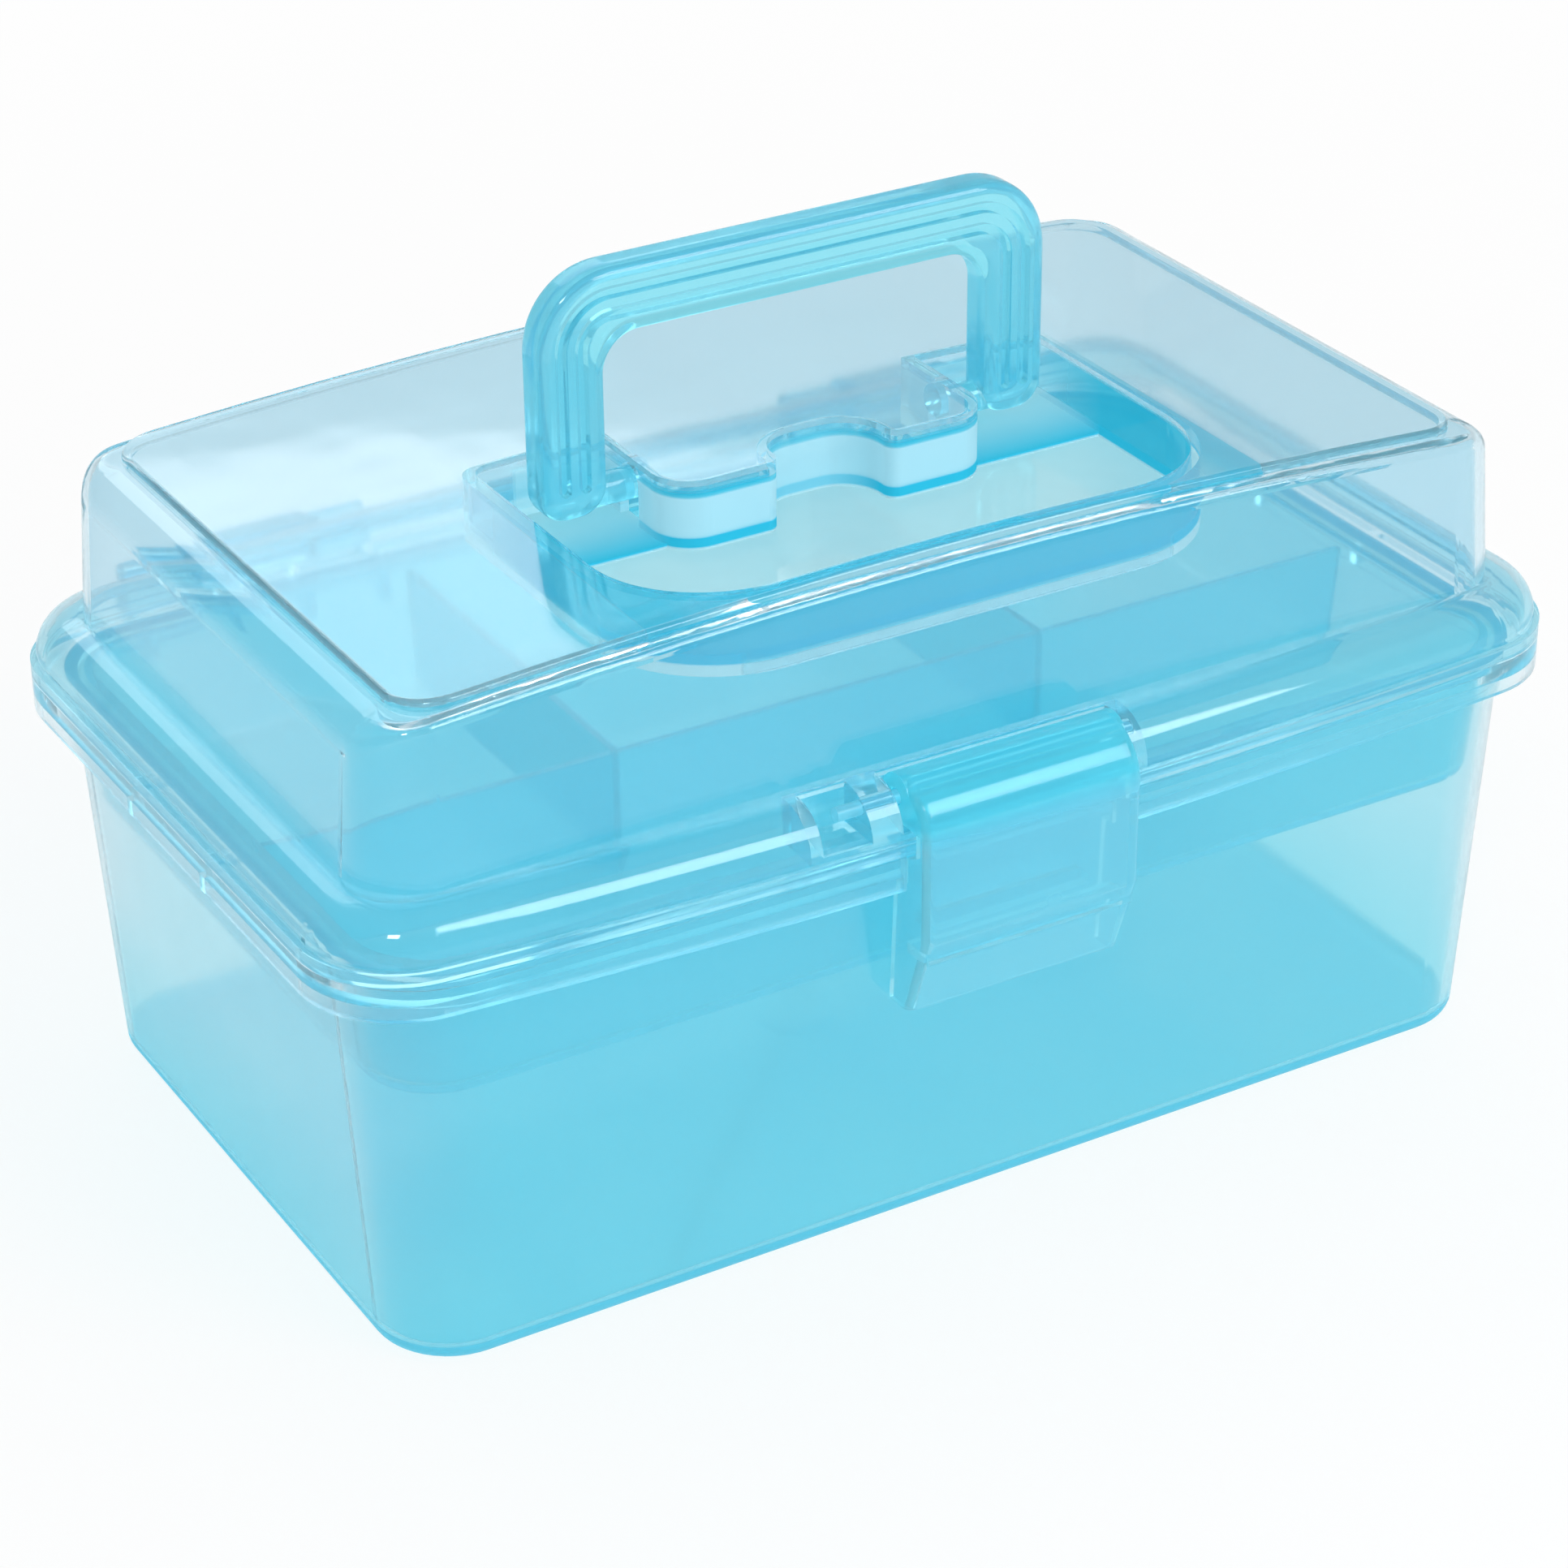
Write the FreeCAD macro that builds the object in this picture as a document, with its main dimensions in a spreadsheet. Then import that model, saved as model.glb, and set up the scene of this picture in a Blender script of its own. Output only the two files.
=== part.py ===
"""Art supply box: a drafted tub with a domed, hinged lid, a fold-down handle, a front latch and a tray.

Millimetres and degrees. X runs along the box, the latch is at the front (-Y), Z is up, and the
origin is the middle of the underside.
"""
import math
import os

import FreeCAD
import Part
from FreeCAD import Placement, Rotation, Vector

document = FreeCAD.newDocument("art_supply_box")
sheet = document.addObject("Spreadsheet::Sheet", "Sizes")

DRIVING_SIZES = [
    # Rim, where lid and tub meet. Its long sides swell by the bow.
    ("rim_length", 290),
    ("rim_depth", 172),
    ("rim_bow", 5),
    ("rim_corner", 22),
    ("seam_height", 94),
    ("lip_height", 7.5),
    ("lip_wall", 2),
    ("flange_height", 4.8),
    # Tub walls, drafted outwards from the foot
    ("foot_length", 265),
    ("foot_depth", 156),
    ("foot_corner", 17),
    ("tub_draft", 3.2),
    ("tub_wall", 2),
    ("tub_floor", 2.2),
    ("foot_edge", 4),
    ("gate_radius", 9),
    ("gate_height", 0.6),
    # Ledge that carries the tray
    ("ledge_width", 3),
    ("ledge_drop", 2.6),
    # Tray
    ("tray_clearance", 0.4),
    ("tray_gap", 1.5),
    ("tray_depth", 29),
    ("tray_draft", 5),
    ("tray_edge", 3),
    ("tray_wall", 1.8),
    ("tray_flange", 2),
    ("divider_wall", 1.6),
    ("divider_drop", 0.6),
    ("front_row_offset", 17),
    ("column_offset", 52),
    # Lid
    ("seam_gap", 0.3),
    ("lid_wall", 2),
    ("skirt_height", 3.5),
    ("shoulder_radius", 9.5),
    ("bead_width", 1.2),
    ("bead_height", 3),
    ("dome_length", 269.4),
    ("dome_depth", 153),
    ("dome_corner", 16),
    ("dome_draft", 4),
    ("lid_rise", 53.8),
    ("roof_crown", 5.8),
    ("roof_side_edge", 3),
    ("roof_end_edge", 9),
    ("panel_length", 246),
    ("panel_depth", 140),
    ("panel_corner", 10),
    ("panel_rise", 1.8),
    ("panel_edge", 1.2),
    # Handle recess, with a roof-high island behind it and a finger well in the island's front
    ("recess_length", 136),
    ("recess_front", 66.5),
    ("recess_back", 12),
    ("recess_corner", 27),
    ("recess_back_corner", 4),
    ("recess_depth", 15.8),
    ("recess_step", 1),
    ("recess_step_front", 15),
    ("island_length", 76.6),
    ("island_front", 19.5),
    ("island_corner", 9),
    ("finger_width", 26),
    ("finger_depth", 13),
    ("finger_corner", 9.5),
    ("finger_lip", 3),
    # Handle
    ("handle_width", 120.6),
    ("handle_reach", 49.5),
    ("handle_post", 15.6),
    ("handle_bar", 15.2),
    ("handle_thickness", 9),
    ("handle_corner", 17),
    ("handle_inner_corner", 8),
    ("handle_edge", 3),
    ("handle_tail", 3.9),
    ("handle_tail_corner", 6.5),
    ("groove_width", 2.2),
    ("groove_depth", 2),
    ("outer_groove_inset", 4.4),
    ("inner_groove_inset", 9),
    ("groove_end", 6),
    ("pivot_front", 1),
    ("pivot_drop", 6.3),
    ("pivot_radius", 3.5),
    ("pivot_clearance", 0.5),
    ("pivot_reach", 1.5),
    # Latch
    ("latch_width", 51),
    ("latch_setback", 7),
    ("latch_axis_rise", 9.9),
    ("latch_barrel", 5),
    ("latch_sweep", 11.5),
    ("latch_wall", 2.4),
    ("latch_crease_drop", 19),
    ("latch_foot_drop", 37),
    ("latch_foot_tuck", 6.5),
    ("latch_cheek_gap", 0.8),
    ("latch_edge", 2.2),
    ("latch_clearance", 0.5),
    ("latch_side_gap", 1.6),
    ("latch_rib_drop", 24),
    ("latch_rib_wall", 2.4),
    ("notch_setback", 0.6),
    ("catch_length", 36),
    ("catch_height", 2.4),
    ("catch_gap", 0.6),
    ("window_width", 11),
    ("window_offset", 34),
    # Rear hinges
    ("hinge_offset", 83.5),
    ("hinge_width", 57),
    ("hinge_knuckle", 14),
    ("hinge_radius", 3.6),
    ("hinge_gap", 1.4),
    ("hinge_rise", 4),
    ("hinge_play", 0.5),
    ("bracket_drop", 1),
    ("bracket_wall", 3),
    ("gusset_wall", 2.4),
    ("gusset_height", 7),
    ("pin_radius", 1.5),
    ("pin_fit", 0.1),
    ("pin_play", 0.3),
    # Ribs under the rim at the short sides
    ("rim_rib_offset", 18),
    ("rim_rib_wall", 2.4),
]

for row, (alias, value) in enumerate(DRIVING_SIZES, start=1):
    sheet.set(f"A{row}", alias)
    sheet.set(f"B{row}", str(value))
    sheet.setAlias(f"B{row}", alias)
document.recompute()


def size(alias):
    """A driving size, read from the sheet."""
    return float(sheet.get(alias))


def spread(draft, height):
    """How far a drafted wall moves sideways over a height."""
    return height * math.tan(math.radians(size(draft)))


# Places that several pieces share
SIDES = ((-1, "left"), (1, "right"))
OVERSHOOT = 1.0
RIM_FRONT = size("rim_depth") / 2 + size("rim_bow")
LEDGE_TOP = size("seam_height") - size("ledge_drop")
LID_BOTTOM = size("seam_height") + size("seam_gap")
DOME_SPRING = LID_BOTTOM + size("skirt_height")
SHOULDER_TOP = DOME_SPRING + size("shoulder_radius")
ROOF_TOP = size("seam_height") + size("lid_rise")
RECESS_FLOOR = ROOF_TOP - size("recess_depth")
PIVOT_Y = -size("pivot_front")
PIVOT_Z = ROOF_TOP - size("pivot_drop")
LATCH_AXIS_Y = size("latch_setback") - RIM_FRONT
LATCH_AXIS_Z = size("seam_height") + size("latch_axis_rise")
LATCH_NOTCH_HALF = size("latch_width") / 2 + size("latch_side_gap")
LATCH_NOTCH_FLOOR = LATCH_AXIS_Z - size("latch_barrel") - size("latch_clearance")
LATCH_NOTCH_BACK = LATCH_AXIS_Y + size("latch_barrel") + size("latch_clearance")
LATCH_PIN_START = -size("window_offset") - size("window_width") / 2
LATCH_PIN_END = LATCH_NOTCH_HALF + size("lid_wall")
LATCH_RIB_BOTTOM = size("seam_height") - size("latch_rib_drop")
RIM_NOTCH_BACK = -size("rim_depth") / 2 - size("notch_setback")
HINGE_AXIS_Y = RIM_FRONT + size("hinge_gap") + size("hinge_radius")
HINGE_AXIS_Z = size("seam_height") + size("hinge_rise")
BRACKET_TOP = size("seam_height") - size("bracket_drop")
BRACKET_BOTTOM = BRACKET_TOP - size("bracket_wall")
POST_INSIDE = size("handle_width") / 2 - size("handle_post")
TRAY_BOTTOM = LEDGE_TOP - size("tray_depth")


def origin_plane(body, role):
    """One of a body's own origin planes."""
    return next(item for item in body.Origin.OriginFeatures if item.Role == role)


def new_body(name):
    """An empty body of the document."""
    body = document.addObject("PartDesign::Body", name)
    body.Label = name
    return body


def sketch(body, name, role, edges, offset="0"):
    """A sketch on an origin plane, moved along its normal by an expression."""
    drawing = body.newObject("Sketcher::SketchObject", name)
    drawing.AttachmentSupport = (origin_plane(body, role), [""])
    drawing.MapMode = "FlatFace"
    drawing.setExpression("AttachmentOffset.Base.z", offset)
    for edge in edges:
        drawing.addGeometry(edge, False)
    document.recompute()
    return drawing


def pad(body, profile, length, symmetric=False, taper=None):
    """Add material from a sketch along its normal, or to both sides of it."""
    feature = body.newObject("PartDesign::Pad", profile.Name + "_pad")
    feature.Profile = profile
    feature.SideType = "Symmetric" if symmetric else "One side"
    feature.setExpression("Length", length)
    if taper:
        feature.setExpression("TaperAngle", taper)
    document.recompute()
    return feature


def pocket(body, profile, length, symmetric=False, along_normal=True):
    """Cut material from a sketch along or against its normal, or to both sides of it."""
    before = body.Shape.Volume
    feature = body.newObject("PartDesign::Pocket", profile.Name + "_cut")
    feature.Profile = profile
    feature.SideType = "Symmetric" if symmetric else "One side"
    feature.Reversed = along_normal and not symmetric
    feature.setExpression("Length", length)
    document.recompute()
    if body.Shape.Volume >= before:
        raise RuntimeError(profile.Name + " cuts nothing")
    return feature


def fillet(body, name, radius, chosen):
    """Round the edges of the body's tip that the function chosen picks out."""
    base = body.Tip
    names = [f"Edge{i}" for i, edge in enumerate(base.Shape.Edges, start=1) if chosen(edge)]
    feature = body.newObject("PartDesign::Fillet", name)
    feature.Base = (base, names)
    feature.setExpression("Radius", radius)
    document.recompute()
    return feature


def boolean(kind, name, base, tool):
    """A Cut, Fuse or Common of two objects of the document."""
    result = document.addObject("Part::" + kind, name)
    result.Base = base
    result.Tool = tool
    document.recompute()
    return result


def level_at(height):
    """Pick the edges that lie level at a height."""
    def chosen(edge):
        box = edge.BoundBox
        return abs(box.ZMin - height) < 1e-4 and abs(box.ZMax - height) < 1e-4
    return chosen


def rounded(corners):
    """Lines and arcs of a closed polygon from (x, y, radius) corners."""
    points = [Vector(x, y, 0) for x, y, _ in corners]
    arcs = []
    for i, (_, _, radius) in enumerate(corners):
        point = points[i]
        back = (points[i - 1] - point).normalize()
        ahead = (points[(i + 1) % len(points)] - point).normalize()
        half_angle = back.getAngle(ahead) / 2
        reach = radius / math.tan(half_angle)
        inwards = (back + ahead).normalize()
        middle = point + inwards * (radius / math.sin(half_angle) - radius)
        arcs.append((point + back * reach, middle, point + ahead * reach))
    edges = []
    for i, (start, middle, end) in enumerate(arcs):
        if corners[i][2] > 0:
            edges.append(Part.Arc(start, middle, end))
        following = arcs[(i + 1) % len(arcs)][0]
        if end.distanceToPoint(following) > 1e-6:
            edges.append(Part.LineSegment(end, following))
    return edges


def rectangle(x_low, y_low, x_high, y_high, radius=0):
    """A rectangle, with rounded corners if a radius is given."""
    return rounded([(x_low, y_low, radius), (x_high, y_low, radius),
                    (x_high, y_high, radius), (x_low, y_high, radius)])


def circle(x, y, radius):
    """A full circle."""
    return [Part.Circle(Vector(x, y, 0), Vector(0, 0, 1), radius)]


def swollen(length, depth, bow, corner, inset=0.0):
    """A rounded rectangle whose long sides swell by the bow, moved inwards by the inset."""
    radius = corner - inset
    half_length = length / 2 - inset
    front = depth / 2 + bow - inset
    centre_x = length / 2 - corner
    centre_y = depth / 2 - corner
    swell_radius = (centre_x ** 2 + (radius + bow) ** 2 - radius ** 2) / (2 * bow)
    lean = math.atan2(centre_x, swell_radius - front + centre_y)
    halfway = (math.pi / 2 + lean) / 2
    tangent = (centre_x + radius * math.sin(lean), centre_y + radius * math.cos(lean))
    middle = (centre_x + radius * math.sin(halfway), centre_y + radius * math.cos(halfway))
    edges = []
    for turn in (-1, 1):
        def at(x, y):
            return Vector(turn * x, turn * y, 0)
        edges.append(Part.Arc(at(-tangent[0], tangent[1]), at(0, front), at(*tangent)))
        edges.append(Part.Arc(at(*tangent), at(*middle), at(half_length, centre_y)))
        edges.append(Part.LineSegment(at(half_length, centre_y), at(half_length, -centre_y)))
        edges.append(Part.Arc(at(half_length, -centre_y), at(middle[0], -middle[1]),
                              at(tangent[0], -tangent[1])))
    return edges


def rim_outline(inset=0.0):
    """The outer edge of the rim."""
    return swollen(size("rim_length"), size("rim_depth"), size("rim_bow"), size("rim_corner"), inset)


def tub_outline(height, inset=0.0):
    """The drafted outside of the tub wall at a height."""
    grow = spread("tub_draft", height) - inset
    x = size("foot_length") / 2 + grow
    y = size("foot_depth") / 2 + grow
    return rectangle(-x, -y, x, y, size("foot_corner") + grow)


def tub_face(height):
    """How far out the long tub walls are at a height."""
    return size("foot_depth") / 2 + spread("tub_draft", height)


def make_base_tub():
    """The tub: walls, rim, tray ledge, latch notch and catch, rear hinge brackets."""
    body = new_body("tub_block")
    wall = size("tub_wall")
    seam = size("seam_height")
    lip = "Sizes.seam_height - Sizes.lip_height"
    foot = sketch(body, "foot", "XY_Plane", tub_outline(0))
    pad(body, foot, "Sizes.seam_height", taper="Sizes.tub_draft")
    fillet(body, "foot_round", "Sizes.foot_edge", level_at(0))
    rim = sketch(body, "rim", "XY_Plane", rim_outline(), lip)
    pad(body, rim, "Sizes.lip_height")
    channel_edges = rim_outline(size("lip_wall")) + tub_outline(seam)
    channel = sketch(body, "lip_channel", "XY_Plane", channel_edges, lip)
    pocket(body, channel, "Sizes.lip_height - Sizes.flange_height")
    half_rib = size("rim_rib_wall") / 2
    for side, word in SIDES:
        for row in (-1, 1):
            place = row * size("rim_rib_offset")
            ends = sorted((side * (size("rim_length") / 2 - size("lip_wall") / 2),
                           side * (size("foot_length") / 2 + spread("tub_draft", seam) - wall / 2)))
            rib_edges = rectangle(ends[0], place - half_rib, ends[1], place + half_rib)
            rib = sketch(body, f"{word}_rim_rib_{row + 2}", "XY_Plane", rib_edges, lip)
            pad(body, rib, "Sizes.lip_height - Sizes.ledge_drop")
    block = body
    for side, word in SIDES:
        block = boolean("Fuse", "tub_with_" + word + "_hinge", block, make_base_hinge(side, word))
    shell = boolean("Cut", "tub_shell", block, make_tub_hollow())

    tub = new_body("base_tub")
    tub.BaseFeature = shell
    document.recompute()
    ledge = sketch(tub, "ledge", "XY_Plane", tub_outline(seam, wall - size("ledge_width")),
                   "Sizes.seam_height - Sizes.ledge_drop")
    pocket(tub, ledge, "Sizes.ledge_drop")
    gate = sketch(tub, "gate", "XY_Plane", circle(0, 0, size("gate_radius")), "Sizes.tub_floor")
    pad(tub, gate, "Sizes.gate_height")
    notch_edges = rectangle(-LATCH_NOTCH_HALF, -RIM_FRONT - OVERSHOOT, LATCH_NOTCH_HALF, RIM_NOTCH_BACK)
    notch = sketch(tub, "rim_notch", "XY_Plane", notch_edges, lip)
    pocket(tub, notch, "Sizes.lip_height")
    catch_bottom = LATCH_RIB_BOTTOM + size("latch_rib_wall") + size("catch_gap")
    half_catch = size("catch_length") / 2
    catch_edges = rectangle(-half_catch, RIM_NOTCH_BACK, half_catch, wall / 2 - tub_face(catch_bottom))
    catch = sketch(tub, "catch", "XY_Plane", catch_edges, f"{catch_bottom}")
    pad(tub, catch, "Sizes.catch_height")
    return tub


def make_tub_hollow():
    """The space inside the tub, rounded at the floor and open past the top."""
    body = new_body("tub_hollow")
    inset = size("tub_wall")
    floor = sketch(body, "hollow_floor", "XY_Plane", tub_outline(size("tub_floor"), inset), "Sizes.tub_floor")
    pad(body, floor, "Sizes.seam_height", taper="Sizes.tub_draft")
    fillet(body, "hollow_round", "Sizes.foot_edge - Sizes.tub_wall / 2", level_at(size("tub_floor")))
    return body


def make_base_hinge(side, word):
    """One rear hinge of the tub: shelf, gussets, two outer knuckles and their bore."""
    body = new_body(word + "_base_hinge")
    radius = size("hinge_radius")
    back = HINGE_AXIS_Y + radius
    ends = sorted(side * (size("hinge_offset") + end * size("hinge_width") / 2) for end in (-1, 1))
    shelf_edges = rectangle(ends[0], size("rim_depth") / 2 - size("lip_wall"), ends[1], back)
    shelf = sketch(body, word + "_shelf", "XY_Plane", shelf_edges,
                   "Sizes.seam_height - Sizes.bracket_drop - Sizes.bracket_wall")
    pad(body, shelf, "Sizes.bracket_wall")
    for end in (-1, 1):
        centre = side * (size("hinge_offset") + end * (size("hinge_width") - size("hinge_knuckle")) / 2)
        knuckle_edges = rounded([(HINGE_AXIS_Y - radius, BRACKET_BOTTOM, 0), (back, BRACKET_BOTTOM, 0),
                                 (back, HINGE_AXIS_Z + radius, radius),
                                 (HINGE_AXIS_Y - radius, HINGE_AXIS_Z + radius, radius)])
        knuckle = sketch(body, f"{word}_knuckle_{end + 2}", "YZ_Plane", knuckle_edges, f"{centre}")
        pad(body, knuckle, "Sizes.hinge_knuckle", symmetric=True)
    low = BRACKET_BOTTOM - size("gusset_height")
    half_wall = size("tub_wall") / 2
    gusset_edges = rounded([(tub_face(low) - half_wall, low, 0), (tub_face(low) + half_wall, low, 0),
                            (back - half_wall, BRACKET_BOTTOM, 0),
                            (tub_face(BRACKET_BOTTOM) - half_wall, BRACKET_BOTTOM, 0)])
    step = (size("hinge_width") - size("gusset_wall")) / 3
    for index in range(4):
        centre = ends[0] + size("gusset_wall") / 2 + index * step
        gusset = sketch(body, f"{word}_gusset_{index + 1}", "YZ_Plane", gusset_edges, f"{centre}")
        pad(body, gusset, "Sizes.gusset_wall", symmetric=True)
    bore_edges = circle(HINGE_AXIS_Y, HINGE_AXIS_Z, size("pin_radius") + size("pin_fit"))
    bore = sketch(body, word + "_bore", "YZ_Plane", bore_edges, f"{side} * Sizes.hinge_offset")
    pocket(body, bore, "Sizes.hinge_width * 1.1", symmetric=True)
    return body


def crown_void(top):
    """The space over a crowned roof whose middle is at the height top, drawn in the XZ plane."""
    reach = size("dome_length") / 2
    edge = top - size("roof_crown")
    sky = ROOF_TOP + 2 * size("roof_crown")
    start, end = Vector(-reach, edge, 0), Vector(reach, edge, 0)
    return [Part.Arc(start, Vector(0, top, 0), end), Part.LineSegment(end, Vector(reach, sky, 0)),
            Part.LineSegment(Vector(reach, sky, 0), Vector(-reach, sky, 0)),
            Part.LineSegment(Vector(-reach, sky, 0), start)]


def crowned_edge(top):
    """Pick the edges around a crowned roof whose middle is at the height top."""
    def chosen(edge):
        low = edge.BoundBox.ZMin > top - size("roof_crown") - OVERSHOOT
        return low and edge.BoundBox.ZLength < size("roof_crown")
    return chosen


def make_panel(name, inset):
    """The raised middle of the roof, as a solid from the shoulder up."""
    body = new_body(name)
    x = size("panel_length") / 2 - inset
    y = size("panel_depth") / 2 - inset
    outline = sketch(body, name + "_outline", "XY_Plane",
                     rectangle(-x, -y, x, y, size("panel_corner") - inset), f"{SHOULDER_TOP}")
    pad(body, outline, f"{ROOF_TOP + OVERSHOOT - SHOULDER_TOP}")
    crown = sketch(body, name + "_crown", "XZ_Plane", crown_void(ROOF_TOP - inset))
    pocket(body, crown, "Sizes.rim_depth * 2", symmetric=True)
    if not inset:
        fillet(body, name + "_edge", "Sizes.panel_edge", crowned_edge(ROOF_TOP))
    return body


def round_roof(body, top, inset):
    """Round the roof's edge, wide at the short ends and narrow along the long sides."""
    feature = document.addObject("Part::Fillet", body.Name + "_edge")
    feature.Base = body
    long_side = size("dome_depth") / 2 - size("dome_corner") / 2

    def radius_at(point):
        return (size("roof_side_edge") if abs(point.y) > long_side else size("roof_end_edge")) - inset
    around_roof = crowned_edge(top)
    edges = []
    for index, edge in enumerate(body.Shape.Edges, start=1):
        if around_roof(edge):
            start = edge.valueAt(edge.FirstParameter)
            end = edge.valueAt(edge.LastParameter)
            edges.append((index, radius_at(start), radius_at(end)))
    feature.Edges = edges
    document.recompute()
    return feature


def make_dome(name, inset):
    """The domed lid as a solid block, or the space inside it when moved in by the wall."""
    body = new_body(name)
    drop = OVERSHOOT if inset else 0.0
    shoulder = size("shoulder_radius") - inset
    skirt = sketch(body, name + "_skirt", "XY_Plane", rim_outline(inset + size("bead_width")),
                   f"{LID_BOTTOM - drop}")
    pad(body, skirt, f"{SHOULDER_TOP - inset - LID_BOTTOM + drop}")
    fillet(body, name + "_shoulder", f"{shoulder}", level_at(SHOULDER_TOP - inset))
    # The skirt's foot steps out by the bead, inside as well as outside.
    step = size("bead_height") - (size("bead_width") if inset else 0.0)
    bead = sketch(body, name + "_bead", "XY_Plane", rim_outline(inset), f"{LID_BOTTOM - drop}")
    pad(body, bead, f"{step + drop}")
    x = size("dome_length") / 2 - inset
    y = size("dome_depth") / 2 - inset
    dome = sketch(body, name + "_walls", "XY_Plane",
                  rectangle(-x, -y, x, y, size("dome_corner") - inset), f"{DOME_SPRING}")
    pad(body, dome, f"{ROOF_TOP + OVERSHOOT - DOME_SPRING}", taper="-Sizes.dome_draft")
    top = ROOF_TOP - size("panel_rise") - inset
    crown = sketch(body, name + "_crown", "XZ_Plane", crown_void(top))
    pocket(body, crown, "Sizes.rim_depth * 2", symmetric=True)
    panel = make_panel(name + "_panel", inset)
    return boolean("Fuse", name + "_with_panel", round_roof(body, top, inset), panel)


def recess_outline(grow=0.0):
    """The handle recess around the island, or its wall's outside when grown by the wall."""
    x = size("recess_length") / 2 + grow
    front = -size("recess_front") - grow
    back = size("recess_back") + grow
    island = size("island_length") / 2 - grow
    island_front = grow - size("island_front")
    finger = size("finger_width") / 2 + grow
    finger_top = island_front + size("finger_depth")
    corner = size("recess_corner") + grow
    back_corner = size("recess_back_corner")
    island_corner = size("island_corner") - grow
    finger_corner = size("finger_corner") + grow
    finger_lip = size("finger_lip") - grow
    return rounded([(-x, front, corner), (x, front, corner), (x, back, back_corner), (island, back, 0),
                    (island, island_front, island_corner), (finger, island_front, finger_lip),
                    (finger, finger_top, finger_corner), (-finger, finger_top, finger_corner),
                    (-finger, island_front, finger_lip), (-island, island_front, island_corner),
                    (-island, back, 0), (-x, back, back_corner)])


def make_recess_walls():
    """The recess as a solid up past the roof, floor and walls included."""
    body = new_body("recess_walls")
    walls = sketch(body, "recess_outside", "XY_Plane", recess_outline(size("lid_wall")),
                   f"{RECESS_FLOOR} - Sizes.lid_wall")
    pad(body, walls, "Sizes.recess_depth + Sizes.lid_wall")
    return body


def make_latch_housing():
    """The block inside the shoulder that holds the latch pocket, the pin window and the pin."""
    body = new_body("latch_housing")
    wall = size("lid_wall")
    left = -size("window_offset") - size("window_width") - wall
    block_edges = rectangle(left, -RIM_FRONT, LATCH_PIN_END + wall, LATCH_NOTCH_BACK + wall)
    block = sketch(body, "housing", "XY_Plane", block_edges, f"{LATCH_NOTCH_FLOOR - wall}")
    pad(body, block, f"{SHOULDER_TOP - LATCH_NOTCH_FLOOR + wall}")
    return body


def make_lid():
    """The lid: domed shell, handle recess, latch pocket, pin window and rear knuckles."""
    outside = make_dome("dome_outside", 0.0)
    shell = boolean("Cut", "dome_shell", outside, make_dome("dome_inside", size("lid_wall")))
    recess = boolean("Common", "recess_block", make_recess_walls(), outside)
    housing = boolean("Common", "housing_block", make_latch_housing(), outside)
    walls = boolean("Fuse", "shell_with_recess", shell, recess)
    block = boolean("Fuse", "lid_block", walls, housing)

    lid = new_body("lid")
    lid.BaseFeature = block
    document.recompute()
    recess_void = sketch(lid, "recess", "XY_Plane", recess_outline(), f"{RECESS_FLOOR}")
    pocket(lid, recess_void, "Sizes.recess_depth + Sizes.lid_wall")
    half_island = size("island_length") / 2
    for side, word in SIDES:
        wall = size("lid_wall")
        ends = sorted((side * (half_island - wall / 2), side * (size("recess_length") / 2 + wall / 2)))
        step_edges = rectangle(ends[0], -size("recess_step_front"), ends[1], size("recess_back") + wall / 2)
        step = sketch(lid, word + "_step", "XY_Plane", step_edges, f"{RECESS_FLOOR - wall / 2}")
        pad(lid, step, "Sizes.recess_step + Sizes.lid_wall / 2")
        add_pivot_slot(lid, side, word)
        add_lid_knuckle(lid, side, word)
    pocket_edges = rectangle(-LATCH_NOTCH_HALF, -RIM_FRONT - OVERSHOOT, LATCH_NOTCH_HALF, LATCH_NOTCH_BACK)
    latch_pocket = sketch(lid, "latch_pocket", "XY_Plane", pocket_edges, f"{LATCH_NOTCH_FLOOR}")
    pocket(lid, latch_pocket, "Sizes.lid_rise")
    window_right = -size("window_offset")
    window_edges = rectangle(window_right - size("window_width"), -RIM_FRONT - OVERSHOOT,
                             window_right, LATCH_NOTCH_BACK)
    window = sketch(lid, "pin_window", "XY_Plane", window_edges, f"{LATCH_NOTCH_FLOOR}")
    pocket(lid, window, "Sizes.shoulder_radius")
    bore_edges = circle(LATCH_AXIS_Y, LATCH_AXIS_Z, size("pin_radius") + size("pin_fit"))
    bore = sketch(lid, "latch_bore", "YZ_Plane", bore_edges, f"{LATCH_PIN_START}")
    pocket(lid, bore, f"{LATCH_PIN_END - LATCH_PIN_START} + Sizes.pin_fit")
    return lid


def add_pivot_slot(lid, side, word):
    """The upright slot in the island's side wall that a handle boss turns in."""
    half = size("pivot_radius") + size("pivot_clearance")
    floor = RECESS_FLOOR + size("recess_step")
    top = PIVOT_Z + half
    slot_edges = rounded([(PIVOT_Y - half, floor, 0), (PIVOT_Y + half, floor, 0),
                          (PIVOT_Y + half, top, half * 0.99), (PIVOT_Y - half, top, half * 0.99)])
    centre = side * (size("island_length") / 2 - size("lid_wall") / 2)
    slot = sketch(lid, word + "_pivot_slot", "YZ_Plane", slot_edges, f"{centre}")
    pocket(lid, slot, "Sizes.lid_wall * 1.5", symmetric=True)


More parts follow.
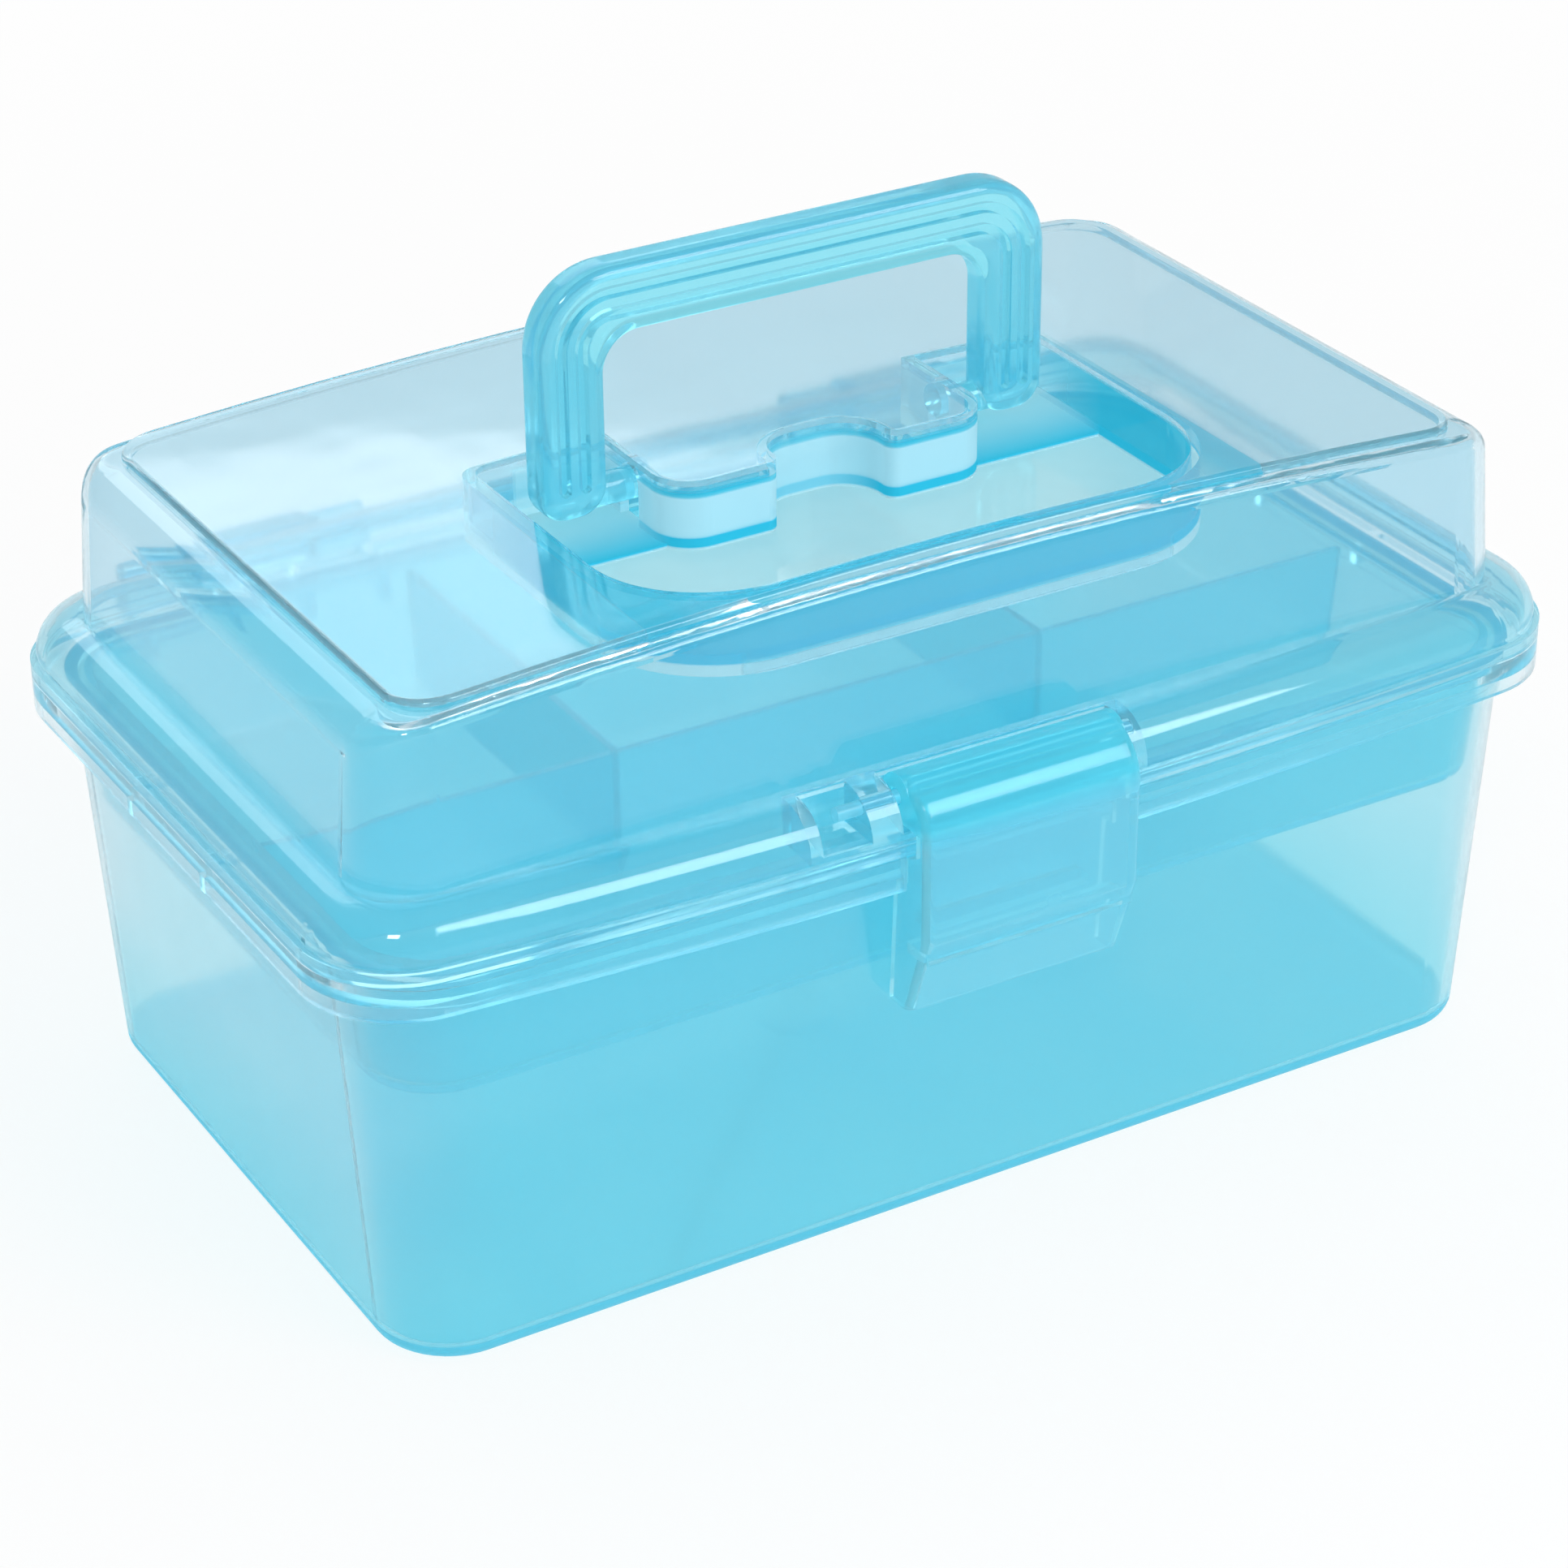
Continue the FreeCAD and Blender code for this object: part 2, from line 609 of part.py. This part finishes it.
def add_lid_knuckle(lid, side, word):
    """The middle knuckle of one rear hinge, on an arm from the skirt."""
    radius = size("hinge_radius")
    back = HINGE_AXIS_Y + radius
    root = size("rim_depth") / 2
    arm_edges = rounded([(root, LID_BOTTOM + size("hinge_play"), 0), (back, HINGE_AXIS_Z - radius, radius * 0.98),
                         (back, HINGE_AXIS_Z + radius, radius * 0.98), (root, HINGE_AXIS_Z + 2 * radius, 0)])
    centre = f"{side} * Sizes.hinge_offset"
    arm = sketch(lid, word + "_arm", "YZ_Plane", arm_edges, centre)
    pad(lid, arm, "Sizes.hinge_width - 2 * Sizes.hinge_knuckle - 2 * Sizes.hinge_play", symmetric=True)
    bore_edges = circle(HINGE_AXIS_Y, HINGE_AXIS_Z, size("pin_radius") + size("pin_play"))
    bore = sketch(lid, word + "_arm_bore", "YZ_Plane", bore_edges, centre)
    pocket(lid, bore, "Sizes.hinge_width", symmetric=True)


def bail(outer, post, bar, bottom, end_corner, inside_corner):
    """A U turned upside down, moved in from the handle's outer edge, with posts and a bar of given widths."""
    x_out = size("handle_width") / 2 - outer
    x_in = x_out - post
    top = PIVOT_Z + size("handle_reach") - outer
    corner = size("handle_corner") - outer
    return rounded([(-x_out, bottom, end_corner), (-x_out, top, corner),
                    (x_out, top, corner), (x_out, bottom, end_corner),
                    (x_in, bottom, end_corner), (x_in, top - bar, inside_corner),
                    (-x_in, top - bar, inside_corner), (-x_in, bottom, end_corner)])


def make_handle():
    """The bail handle, upright, with two grooves in its front and a boss inside each post."""
    body = new_body("handle")
    half = size("handle_thickness") / 2
    bottom = PIVOT_Z - size("handle_tail")
    bow_edges = bail(0, size("handle_post"), size("handle_bar"), bottom, size("handle_tail_corner"),
                     size("handle_inner_corner"))
    bow = sketch(body, "bail", "XZ_Plane", bow_edges, "Sizes.pivot_front")
    pad(body, bow, "Sizes.handle_thickness", symmetric=True)

    def face_edge(edge):
        box = edge.BoundBox
        return box.YLength < 1e-4 and abs(abs(box.YMin - PIVOT_Y) - half) < 1e-4
    fillet(body, "bail_round", "Sizes.handle_edge", face_edge)
    for word in ("outer", "inner"):
        inset = size(word + "_groove_inset")
        width = size("groove_width")
        groove_edges = bail(inset, width, width, bottom + size("groove_end"), width * 0.49,
                            size("handle_corner") - inset - width)
        groove = sketch(body, word + "_groove", "XZ_Plane", groove_edges,
                        "Sizes.handle_thickness / 2 + Sizes.pivot_front")
        pocket(body, groove, "Sizes.groove_depth", along_normal=False)
    inner_end = size("island_length") / 2 - size("lid_wall") - size("pivot_reach")
    length = POST_INSIDE + size("handle_edge") - inner_end
    for side, word in SIDES:
        boss_edges = circle(PIVOT_Y, PIVOT_Z, size("pivot_radius"))
        boss = sketch(body, word + "_boss", "YZ_Plane", boss_edges, f"{side * (inner_end + length / 2)}")
        pad(body, boss, f"{length}", symmetric=True)
    return body


def make_latch():
    """The latch: a wrap-over plate with cheeks, a barrel at the top and a rib inside."""
    body = new_body("latch")
    wall = size("latch_wall")
    gap = size("latch_clearance")
    top = LATCH_AXIS_Z + size("latch_barrel")
    front = LATCH_AXIS_Y - size("latch_sweep")
    foot = size("seam_height") - size("latch_foot_drop")
    tuck = front + size("latch_foot_tuck")
    crease = size("seam_height") - size("latch_crease_drop")
    sweep = size("latch_sweep")
    back = RIM_NOTCH_BACK - gap
    # The cheeks pass under the lid's skirt, outside the circle that the skirt's corner stands on.
    swing = math.hypot(RIM_FRONT + LATCH_AXIS_Y, LATCH_AXIS_Z - LID_BOTTOM) + 2 * gap
    low = LATCH_AXIS_Z - math.sqrt(swing ** 2 - (back - LATCH_AXIS_Y) ** 2)
    skirt = -RIM_FRONT - gap
    high = LATCH_AXIS_Z - math.sqrt(swing ** 2 - (skirt - LATCH_AXIS_Y) ** 2)
    under_lip = size("seam_height") - size("lip_height") - size("latch_cheek_gap")
    cheek_edges = rounded([(LATCH_AXIS_Y, top, 0), (front, top, sweep * 0.99), (front, crease, sweep / 2),
                           (tuck, foot, 0), (-tub_face(foot) - size("latch_cheek_gap"), foot, 0),
                           (-tub_face(under_lip) - size("latch_cheek_gap"), under_lip, 0),
                           (back, under_lip, 0), (back, low, 0), (skirt, high, 0),
                           (skirt, LATCH_AXIS_Z - size("latch_barrel"), 0),
                           (LATCH_AXIS_Y, LATCH_AXIS_Z - size("latch_barrel"), 0)])
    cheek = sketch(body, "cheek", "YZ_Plane", cheek_edges)
    pad(body, cheek, "Sizes.latch_width", symmetric=True)
    half = size("latch_width") / 2

    def front_edge(edge):
        box = edge.BoundBox
        on_side = box.XLength < 1e-4 and abs(abs(box.XMin) - half) < 1e-4
        return on_side and box.YMin < skirt - gap
    fillet(body, "cheek_round", "Sizes.latch_edge", front_edge)
    hollow_edges = rounded([(LATCH_AXIS_Y + 2 * wall, top - wall, 0), (front + wall, top - wall, sweep - wall),
                            (front + wall, crease, sweep / 2 - wall), (tuck + wall, foot - OVERSHOOT, 0),
                            (LATCH_AXIS_Y + 2 * wall, foot - OVERSHOOT, 0)])
    hollow = sketch(body, "latch_hollow", "YZ_Plane", hollow_edges)
    pocket(body, hollow, "Sizes.latch_width - 2 * Sizes.latch_wall", symmetric=True)
    barrel_edges = circle(LATCH_AXIS_Y, LATCH_AXIS_Z, size("latch_barrel"))
    barrel = sketch(body, "barrel", "YZ_Plane", barrel_edges)
    pad(body, barrel, "Sizes.latch_width", symmetric=True)
    bore = sketch(body, "barrel_bore", "YZ_Plane",
                  circle(LATCH_AXIS_Y, LATCH_AXIS_Z, size("pin_radius") + size("pin_play")))
    pocket(body, bore, "Sizes.latch_width * 1.1", symmetric=True)
    rib_edges = rectangle(front + wall / 2, LATCH_RIB_BOTTOM, back, LATCH_RIB_BOTTOM + size("latch_rib_wall"))
    rib = sketch(body, "rib", "YZ_Plane", rib_edges)
    pad(body, rib, "Sizes.latch_width - Sizes.latch_wall", symmetric=True)
    return body


def make_tray():
    """The lift-out tray: drafted walls, a long front bay and three rear ones, and a flange."""
    wall = size("tray_wall")
    gap = size("tub_wall") + size("tray_gap")
    lean = spread("tray_draft", size("tray_depth"))
    block = new_body("tray_block")
    foot = sketch(block, "tray_foot", "XY_Plane", tub_outline(LEDGE_TOP, gap + lean), f"{TRAY_BOTTOM}")
    pad(block, foot, "Sizes.tray_depth", taper="Sizes.tray_draft")
    fillet(block, "tray_foot_round", "Sizes.tray_edge", level_at(TRAY_BOTTOM))

    floor_height = TRAY_BOTTOM + wall
    hollow = new_body("tray_hollow")
    floor_inset = gap + lean + wall - spread("tray_draft", wall)
    floor = sketch(hollow, "tray_floor", "XY_Plane", tub_outline(LEDGE_TOP, floor_inset), f"{floor_height}")
    pad(hollow, floor, "Sizes.tray_depth", taper="Sizes.tray_draft")
    fillet(hollow, "tray_floor_round", "Sizes.tray_edge - Sizes.tray_wall / 2", level_at(floor_height))

    dividers = new_body("tray_dividers")
    half = size("divider_wall") / 2
    row = -size("front_row_offset")
    far_x, far_y = size("foot_length"), size("foot_depth")
    divider_height = f"{LEDGE_TOP - TRAY_BOTTOM} - Sizes.divider_drop"
    front_row = sketch(dividers, "front_row", "XY_Plane",
                       rectangle(-far_x, row - half, far_x, row + half), f"{TRAY_BOTTOM}")
    pad(dividers, front_row, divider_height)
    for side, word in SIDES:
        x = side * size("column_offset")
        column = sketch(dividers, word + "_column", "XY_Plane", rectangle(x - half, row, x + half, far_y),
                        f"{TRAY_BOTTOM}")
        pad(dividers, column, divider_height)

    shell = boolean("Cut", "tray_shell", block, hollow)
    fitted = boolean("Common", "fitted_dividers", dividers, block)
    walls = boolean("Fuse", "tray_walls", shell, fitted)
    tray = new_body("tray")
    tray.BaseFeature = walls
    document.recompute()
    rim_inset = size("tub_wall") - size("ledge_width") + size("tray_clearance")
    flange_edges = tub_outline(size("seam_height"), rim_inset) + tub_outline(LEDGE_TOP, gap + wall)
    flange = sketch(tray, "flange", "XY_Plane", flange_edges, "Sizes.seam_height - Sizes.ledge_drop")
    pad(tray, flange, "Sizes.tray_flange")
    return tray


def make_pin(label, start, length, y, z):
    """A round pin along X."""
    pin = document.addObject("Part::Cylinder", label)
    pin.Label = label
    pin.setExpression("Radius", "Sizes.pin_radius")
    pin.setExpression("Height", length)
    pin.Placement = Placement(Vector(start, y, z), Rotation(Vector(0, 1, 0), 90))
    return pin


def make_pins():
    """The two hinge pins, and the latch pin that starts in the window."""
    half = size("hinge_width") / 2
    pins = []
    for side, word in SIDES:
        start = side * size("hinge_offset") - half
        pins.append(make_pin("hinge_pin_" + word, start, "Sizes.hinge_width", HINGE_AXIS_Y, HINGE_AXIS_Z))
    length = f"{LATCH_PIN_END - LATCH_PIN_START}"
    pins.append(make_pin("latch_pin", LATCH_PIN_START, length, LATCH_AXIS_Y, LATCH_AXIS_Z))
    return pins


pieces = [make_base_tub(), make_lid(), make_handle(), make_latch(), make_tray()] + make_pins()
document.recompute()
for item in document.Objects:
    if "Invalid" in item.State or "Error" in item.State:
        raise RuntimeError(f"{item.Name} failed: {item.State}")
for piece in pieces:
    if piece.Shape.isNull() or not piece.Shape.isValid():
        raise RuntimeError(piece.Label + " is not a valid shape")
os.makedirs("parts", exist_ok=True)
for piece in pieces:
    piece.Shape.exportStep(f"parts/{piece.Label}.step")
    print(piece.Label, len(piece.Shape.Solids), "solid", round(piece.Shape.Volume), "mm3")
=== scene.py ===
"""Looks of the art supply box: translucent moulded plastic in a white studio."""
import math

import bpy
from mathutils import Matrix, Vector

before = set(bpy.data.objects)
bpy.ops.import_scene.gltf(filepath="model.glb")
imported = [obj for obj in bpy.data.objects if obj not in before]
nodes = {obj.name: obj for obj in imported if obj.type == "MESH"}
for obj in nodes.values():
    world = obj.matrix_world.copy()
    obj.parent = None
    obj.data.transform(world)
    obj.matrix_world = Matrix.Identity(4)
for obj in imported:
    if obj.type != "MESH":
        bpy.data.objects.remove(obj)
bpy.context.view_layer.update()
scene = bpy.context.scene


class Tree:
    """A material's node tree with short calls for making and joining nodes."""

    def __init__(self, name):
        self.material = bpy.data.materials.new(name)
        self.material.use_nodes = True
        self.tree = self.material.node_tree
        self.tree.nodes.clear()

    def add(self, kind, **settings):
        """Make a node."""
        node = self.tree.nodes.new(kind)
        for key, value in settings.items():
            setattr(node, key, value)
        return node

    def join(self, source, target):
        """Link two sockets."""
        self.tree.links.new(source, target)

    def feed(self, value, socket):
        """Give a socket a plain number, or link it to another socket."""
        if isinstance(value, (int, float)):
            socket.default_value = value
        else:
            self.join(value, socket)

    def math(self, operation, first, second):
        """Work out a number from two others."""
        node = self.add("ShaderNodeMath", operation=operation)
        self.feed(first, node.inputs[0])
        self.feed(second, node.inputs[1])
        return node.outputs[0]

    def noise(self, coordinates, scale, detail):
        """A soft random pattern between 0 and 1."""
        node = self.add("ShaderNodeTexNoise")
        node.inputs["Scale"].default_value = scale
        node.inputs["Detail"].default_value = detail
        self.join(coordinates, node.inputs["Vector"])
        return node.outputs["Fac"]

    def spread(self, value, low, high, start=0.3, end=0.7):
        """Go from low to high while a value goes from start to end."""
        node = self.add("ShaderNodeMapRange")
        node.inputs["From Min"].default_value = start
        node.inputs["From Max"].default_value = end
        node.inputs["To Min"].default_value = low
        node.inputs["To Max"].default_value = high
        self.join(value, node.inputs["Value"])
        return node.outputs["Result"]

    def mix(self, factor, first, second):
        """Blend two shaders."""
        node = self.add("ShaderNodeMixShader")
        self.feed(factor, node.inputs["Fac"])
        self.join(first, node.inputs[1])
        self.join(second, node.inputs[2])
        return node.outputs[0]

    def paint(self, socket, colour, masks, others):
        """Give a socket one colour, or another where a mask is 1."""
        socket.default_value = (*colour, 1.0)
        last = None
        for mask, other in zip(masks, others):
            node = self.add("ShaderNodeMix", data_type="RGBA")
            self.join(mask, node.inputs["Factor"])
            node.inputs["A"].default_value = (*colour, 1.0)
            node.inputs["B"].default_value = (*other, 1.0)
            if last is not None:
                self.join(last, node.inputs["A"])
            last = node.outputs["Result"]
        if last is not None:
            self.join(last, socket)

    def finish(self, surface):
        """Join the shader to the output and hand over the material."""
        output = self.add("ShaderNodeOutputMaterial")
        self.join(surface, output.inputs["Surface"])
        return self.material


# Patterns in the plastic, as noise scale and detail: flow marks of the moulding,
# fine grain in the polish, and a slow wave of the surface.
FLOW = (22.0, 3.0)
GRAIN = (900.0, 2.0)
WAVE = (45.0, 1.0)
# Least and most that the flow marks leave of the haze, and the grain of the roughness.
HAZE_SHARES = (0.85, 1.15)
ROUGH_SHARES = (0.85, 1.2)
WAVE_STRENGTH = 0.1
WAVE_DEPTH = 0.0006
PLASTIC_IOR = 1.49


def inside(t, place, ramps):
    """A mask from ramps along x, y and z that go from 0 to 1 between two places."""
    axes = t.add("ShaderNodeSeparateXYZ")
    t.join(place, axes.inputs[0])
    mask = 1.0
    for axis, start, end in ramps:
        mask = t.math("MULTIPLY", t.spread(axes.outputs[axis], 0.0, 1.0, start, end), mask)
    return mask


def plastic(name, tint, milk, haze, rough, zones=()):
    """Tinted clear moulded plastic that bends light, with a milky haze and faint flow marks.

    Each zone is a place on the object with a tint, a milk colour and a haze of its own; some
    zones are painted light or painted shade.
    """
    t = Tree(name)
    place = t.add("ShaderNodeTexCoord").outputs["Object"]
    flow = t.noise(place, *FLOW)
    grain = t.noise(place, *GRAIN)
    wave = t.noise(place, *WAVE)
    masks = [inside(t, place, zone["ramps"]) for zone in zones]

    bump = t.add("ShaderNodeBump")
    bump.inputs["Strength"].default_value = WAVE_STRENGTH
    bump.inputs["Distance"].default_value = WAVE_DEPTH
    t.join(wave, bump.inputs["Height"])

    clear = t.add("ShaderNodeBsdfPrincipled")
    t.paint(clear.inputs["Base Color"], tint, masks, [zone["tint"] for zone in zones])
    clear.inputs["Transmission Weight"].default_value = 1.0
    clear.inputs["IOR"].default_value = PLASTIC_IOR
    smooth, coarse = (rough * share for share in ROUGH_SHARES)
    t.join(t.spread(grain, smooth, coarse), clear.inputs["Roughness"])
    t.join(bump.outputs["Normal"], clear.inputs["Normal"])

    front = t.add("ShaderNodeBsdfDiffuse")
    behind = t.add("ShaderNodeBsdfTranslucent")
    for shader in (front, behind):
        t.paint(shader.inputs["Color"], milk, masks, [zone["milk"] for zone in zones])
    cloud = t.mix(0.5, front.outputs[0], behind.outputs[0])
    amount = haze
    for mask, zone in zip(masks, zones):
        amount = t.math("ADD", amount, t.math("MULTIPLY", mask, zone["haze"] - haze))
    amount = t.math("MULTIPLY", t.spread(flow, *HAZE_SHARES), amount)
    body = t.mix(amount, clear.outputs[0], cloud)

    # Light on its way to what is inside or below goes straight through, tinted.
    shade = t.add("ShaderNodeBsdfTransparent")
    shade.inputs["Color"].default_value = (*(math.sqrt(c) for c in tint), 1.0)
    rays = t.add("ShaderNodeLightPath").outputs
    straight = t.math("MAXIMUM", rays["Is Shadow Ray"], rays["Is Diffuse Ray"])
    return t.finish(t.mix(straight, body, shade.outputs[0]))


def dress(node, material):
    """Give a CAD node its material."""
    mesh = nodes[node].data
    mesh.materials.clear()
    mesh.materials.append(material)


# Zones of the mouldings, some of them painted light or painted shade. A ramp is an axis with
# the place where the zone starts to show and the place where it shows in full, in metres.
LID_SHOULDER = {
    "ramps": (("Z", 0.108, 0.102),),
    "tint": (0.62, 0.92, 0.97),
    "milk": (0.28, 0.78, 0.96),
    "haze": 0.17,
}
# Painted light: the recess floor is made whiter and milkier, as if lit from above.
RECESS_FLOOR_PAINTED_LIGHT = {
    "ramps": (("X", -0.0695, -0.069), ("X", 0.0695, 0.069),
              ("Y", -0.0673, -0.0668), ("Y", 0.015, 0.0145),
              ("Z", 0.129, 0.1295), ("Z", 0.135, 0.1345)),
    "tint": (0.86, 0.965, 0.985),
    "milk": (0.86, 0.98, 1.0),
    "haze": 0.52,
}
# Painted shade: the recess's outer walls are made darker and a deeper cyan.
RECESS_WALLS_PAINTED_SHADE = {
    "ramps": (("X", -0.0715, -0.071), ("X", 0.0715, 0.071),
              ("Y", -0.0695, -0.069), ("Y", 0.0145, -0.0155),
              ("Z", 0.1322, 0.1327), ("Z", 0.145, 0.1445)),
    "tint": (0.28, 0.86, 0.955),
    "milk": (0.05, 0.62, 0.84),
    "haze": 0.55,
}
# Painted light: the island's wall is made paler and whiter, as if lit.
ISLAND_WALL_PAINTED_LIGHT = {
    "ramps": (("X", -0.058, -0.0575), ("X", 0.058, 0.0575),
              ("Y", -0.036, -0.0355), ("Y", 0.0145, 0.014),
              ("Z", 0.1345, 0.135), ("Z", 0.1438, 0.1433)),
    "tint": (0.8, 0.95, 0.985),
    "milk": (0.66, 0.92, 1.0),
    "haze": 0.3,
}
# Deeper cyan floor plate: partly the floor's own thickness, partly painted shade where the
# floor lies in the box's shadow.
TUB_FLOOR_THICK_AND_SHADED = {
    "ramps": (("Z", 0.0045, 0.004),),
    "tint": (0.42, 0.92, 0.97),
    "milk": (0.2, 0.67, 0.86),
    "haze": 0.45,
}
# Painted light and shade: the left end wall is paler and clearer at the top, fading to the
# tub's darker colour towards the bottom.
TUB_LEFT_PAINTED_LIGHT = {
    "ramps": (("X", -0.114, -0.13), ("Z", 0.004, 0.044)),
    "tint": (0.85, 0.94, 0.97),
    "milk": (0.34, 0.76, 0.93),
    "haze": 0.04,
}
# Painted light and shade on the right end wall, as on the left.
TUB_RIGHT_PAINTED_LIGHT = {**TUB_LEFT_PAINTED_LIGHT, "ramps": (("X", 0.114, 0.13), ("Z", 0.004, 0.044))}
LATCH_TOP = {
    "ramps": (("Z", 0.095, 0.101),),
    "tint": (0.36, 0.94, 0.99),
    "milk": (0.2, 0.84, 1.0),
    "haze": 0.4,
}
MILK = (0.34, 0.8, 0.96)


def dress_all():
    """One plastic for each moulding, and one for the three pins."""
    dress("lid", plastic(
        "lid_plastic", tint=(0.745, 0.895, 0.955), milk=MILK, haze=0.04, rough=0.05,
        zones=(LID_SHOULDER, RECESS_FLOOR_PAINTED_LIGHT, RECESS_WALLS_PAINTED_SHADE, ISLAND_WALL_PAINTED_LIGHT)))
    dress("base_tub", plastic(
        "tub_plastic", tint=(0.66, 0.95, 0.985), milk=MILK, haze=0.14, rough=0.1,
        zones=(TUB_FLOOR_THICK_AND_SHADED, TUB_LEFT_PAINTED_LIGHT, TUB_RIGHT_PAINTED_LIGHT)))
    dress("tray", plastic(
        "tray_plastic", tint=(0.54, 0.945, 0.985), milk=(0.3, 0.78, 0.95),
        haze=0.24, rough=0.14))
    dress("latch", plastic(
        "latch_plastic", tint=(0.6, 0.94, 0.988), milk=(0.42, 0.86, 1.0), haze=0.25, rough=0.1,
        zones=(LATCH_TOP,)))
    dress("handle", plastic(
        "handle_plastic", tint=(0.34, 0.86, 0.955), milk=MILK, haze=0.2, rough=0.08))
    pins = plastic("pin_plastic", tint=(0.4, 0.88, 0.96), milk=MILK, haze=0.5, rough=0.2)
    for node in ("hinge_pin_left", "hinge_pin_right", "latch_pin"):
        dress(node, pins)


FLOOR_SIZE = 30.0
FLOOR_DROP = 0.0004
PAPER = (60.0, 2.0)
PAPER_DARK = (0.93, 0.93, 0.93, 1.0)
PAPER_LIGHT = (0.95, 0.95, 0.95, 1.0)
# How white the floor is near the object and far off, and the distances, in metres.
WHITE_NEAR, WHITE_FAR = 0.75, 1.0
NEAR, FAR = 0.25, 1.0


def make_floor():
    """A wide pale floor that keeps the object's shadow and turns pure white further out."""
    bpy.ops.mesh.primitive_plane_add(size=FLOOR_SIZE, location=(0, 0, -FLOOR_DROP))
    floor = bpy.context.object
    floor.name = "floor"
    t = Tree("floor_paper")
    place = t.add("ShaderNodeTexCoord").outputs["Object"]
    paper = t.add("ShaderNodeBsdfDiffuse")
    tones = t.add("ShaderNodeMix", data_type="RGBA")
    tones.inputs["A"].default_value = PAPER_DARK
    tones.inputs["B"].default_value = PAPER_LIGHT
    t.join(t.noise(place, *PAPER), tones.inputs["Factor"])
    t.join(tones.outputs["Result"], paper.inputs["Color"])
    white = t.add("ShaderNodeEmission")
    white.inputs["Strength"].default_value = 1.0
    rays = t.add("ShaderNodeLightPath").outputs
    seen = t.math("MAXIMUM", rays["Is Camera Ray"], rays["Is Transmission Ray"])
    distance = t.add("ShaderNodeVectorMath", operation="LENGTH")
    t.join(place, distance.inputs[0])
    fade = t.spread(distance.outputs["Value"], WHITE_NEAR, WHITE_FAR, NEAR, FAR)
    shown = t.mix(t.math("MULTIPLY", seen, fade), paper.outputs[0], white.outputs[0])
    floor.data.materials.append(t.finish(shown))


LIGHT_ON_PLASTIC = 0.62
LIGHT_IN_REFLECTIONS = 0.66
LIGHT_THROUGH_PLASTIC = 0.76
LIGHT_TO_THE_EYE = 1.0


def make_world():
    """White light all round, plain on the plastic and pure white to the eye."""
    world = bpy.data.worlds.new("studio")
    scene.world = world
    world.use_nodes = True
    tree = world.node_tree
    tree.nodes.clear()

    def background(strength):
        node = tree.nodes.new("ShaderNodeBackground")
        node.inputs["Color"].default_value = (1.0, 1.0, 1.0, 1.0)
        node.inputs["Strength"].default_value = strength
        return node.outputs[0]

    def choose(chooser, other, chosen):
        node = tree.nodes.new("ShaderNodeMixShader")
        tree.links.new(chooser, node.inputs["Fac"])
        tree.links.new(other, node.inputs[1])
        tree.links.new(chosen, node.inputs[2])
        return node.outputs[0]

    rays = tree.nodes.new("ShaderNodeLightPath").outputs
    light = background(LIGHT_ON_PLASTIC)
    light = choose(rays["Is Glossy Ray"], light, background(LIGHT_IN_REFLECTIONS))
    light = choose(rays["Is Transmission Ray"], light, background(LIGHT_THROUGH_PLASTIC))
    light = choose(rays["Is Camera Ray"], light, background(LIGHT_TO_THE_EYE))
    output = tree.nodes.new("ShaderNodeOutputWorld")
    tree.links.new(light, output.inputs["Surface"])


LAMP_TARGET = Vector((0, 0, 0.08))


def softbox(name, place, width, height, power):
    """A rectangular area lamp aimed at the middle of the box."""
    lamp = bpy.data.lights.new(name, "AREA")
    lamp.shape = "RECTANGLE"
    lamp.size = width
    lamp.size_y = height
    lamp.energy = power
    holder = bpy.data.objects.new(name, lamp)
    holder.location = place
    holder.rotation_euler = (LAMP_TARGET - Vector(place)).to_track_quat("-Z", "Y").to_euler()
    scene.collection.objects.link(holder)


CAMERA_PLACE = (-0.412256, -0.703133, 0.51092)
CAMERA_RIGHT = Vector((0.861457, -0.507776, -0.007415))
CAMERA_UP = Vector((0.251547, 0.413983, 0.874838))
SENSOR_WIDTH = 36.0
FOCAL_LENGTH = 98.49


def make_camera():
    """The photograph's viewpoint, fitted to the box's edges."""
    lens = bpy.data.cameras.new("camera")
    lens.sensor_width = SENSOR_WIDTH
    lens.lens = FOCAL_LENGTH
    lens.clip_start = 0.05
    lens.clip_end = 100.0
    camera = bpy.data.objects.new("camera", lens)
    axes = Matrix((CAMERA_RIGHT, CAMERA_UP, CAMERA_RIGHT.cross(CAMERA_UP)))
    camera.matrix_world = Matrix.Translation(CAMERA_PLACE) @ axes.transposed().to_4x4()
    scene.collection.objects.link(camera)
    scene.camera = camera


# Many thin walls stand behind each other, so light may cross many surfaces.
LIGHT_BOUNCES = 40
STRAIGHT_CROSSINGS = 32


def set_up_light_paths():
    """Plain colours, and enough bounces for light to find its way through the box."""
    scene.view_settings.view_transform = "Standard"
    scene.cycles.max_bounces = LIGHT_BOUNCES
    scene.cycles.diffuse_bounces = 1
    scene.cycles.glossy_bounces = LIGHT_BOUNCES
    scene.cycles.transmission_bounces = LIGHT_BOUNCES
    scene.cycles.transparent_max_bounces = STRAIGHT_CROSSINGS
    scene.cycles.caustics_refractive = False
    scene.cycles.caustics_reflective = False


dress_all()
make_floor()
make_world()
softbox("key", (0.7, -1.3, 1.2), 0.9, 0.7, 13.0)
softbox("glint", (-0.9, -1.1, 1.3), 0.3, 0.24, 5.0)
softbox("back", (0.2, 1.4, 1.4), 1.4, 1.0, 6.0)
make_camera()
set_up_light_paths()
